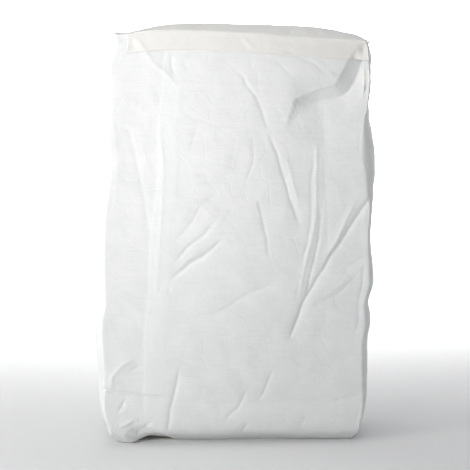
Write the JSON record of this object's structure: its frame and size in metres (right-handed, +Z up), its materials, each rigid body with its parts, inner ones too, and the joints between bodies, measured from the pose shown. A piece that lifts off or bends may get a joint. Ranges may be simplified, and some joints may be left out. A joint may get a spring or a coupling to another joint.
{
  "type": "filled paper valve sack of gypsum plaster",
  "caption": "White paper valve sack filled with gypsum plaster, standing on its block bottom, with a lapped cover strip on its top end.",
  "frame": {"origin": "on the floor, under the middle of the sack's bounding box", "axes": "+X to the right as seen from the front, +Y from the front face to the back face, +Z up, from the block bottom to the top end"},
  "size_m": [0.4032, 0.1534, 0.6042],
  "materials": {
    "white_kraft_paper": "matte",
    "cover_strip_paper": "matte",
    "sleeve_paper": "matte",
    "gypsum_powder": "matte"
  },
  "bodies": {
    "root": {"paper_sack": "white_kraft_paper", "gypsum_fill": "gypsum_powder", "top_cover_strip": "cover_strip_paper", "bottom_cover_strip": "cover_strip_paper", "valve_sleeve": "sleeve_paper"}
  },
  "joints": []
}
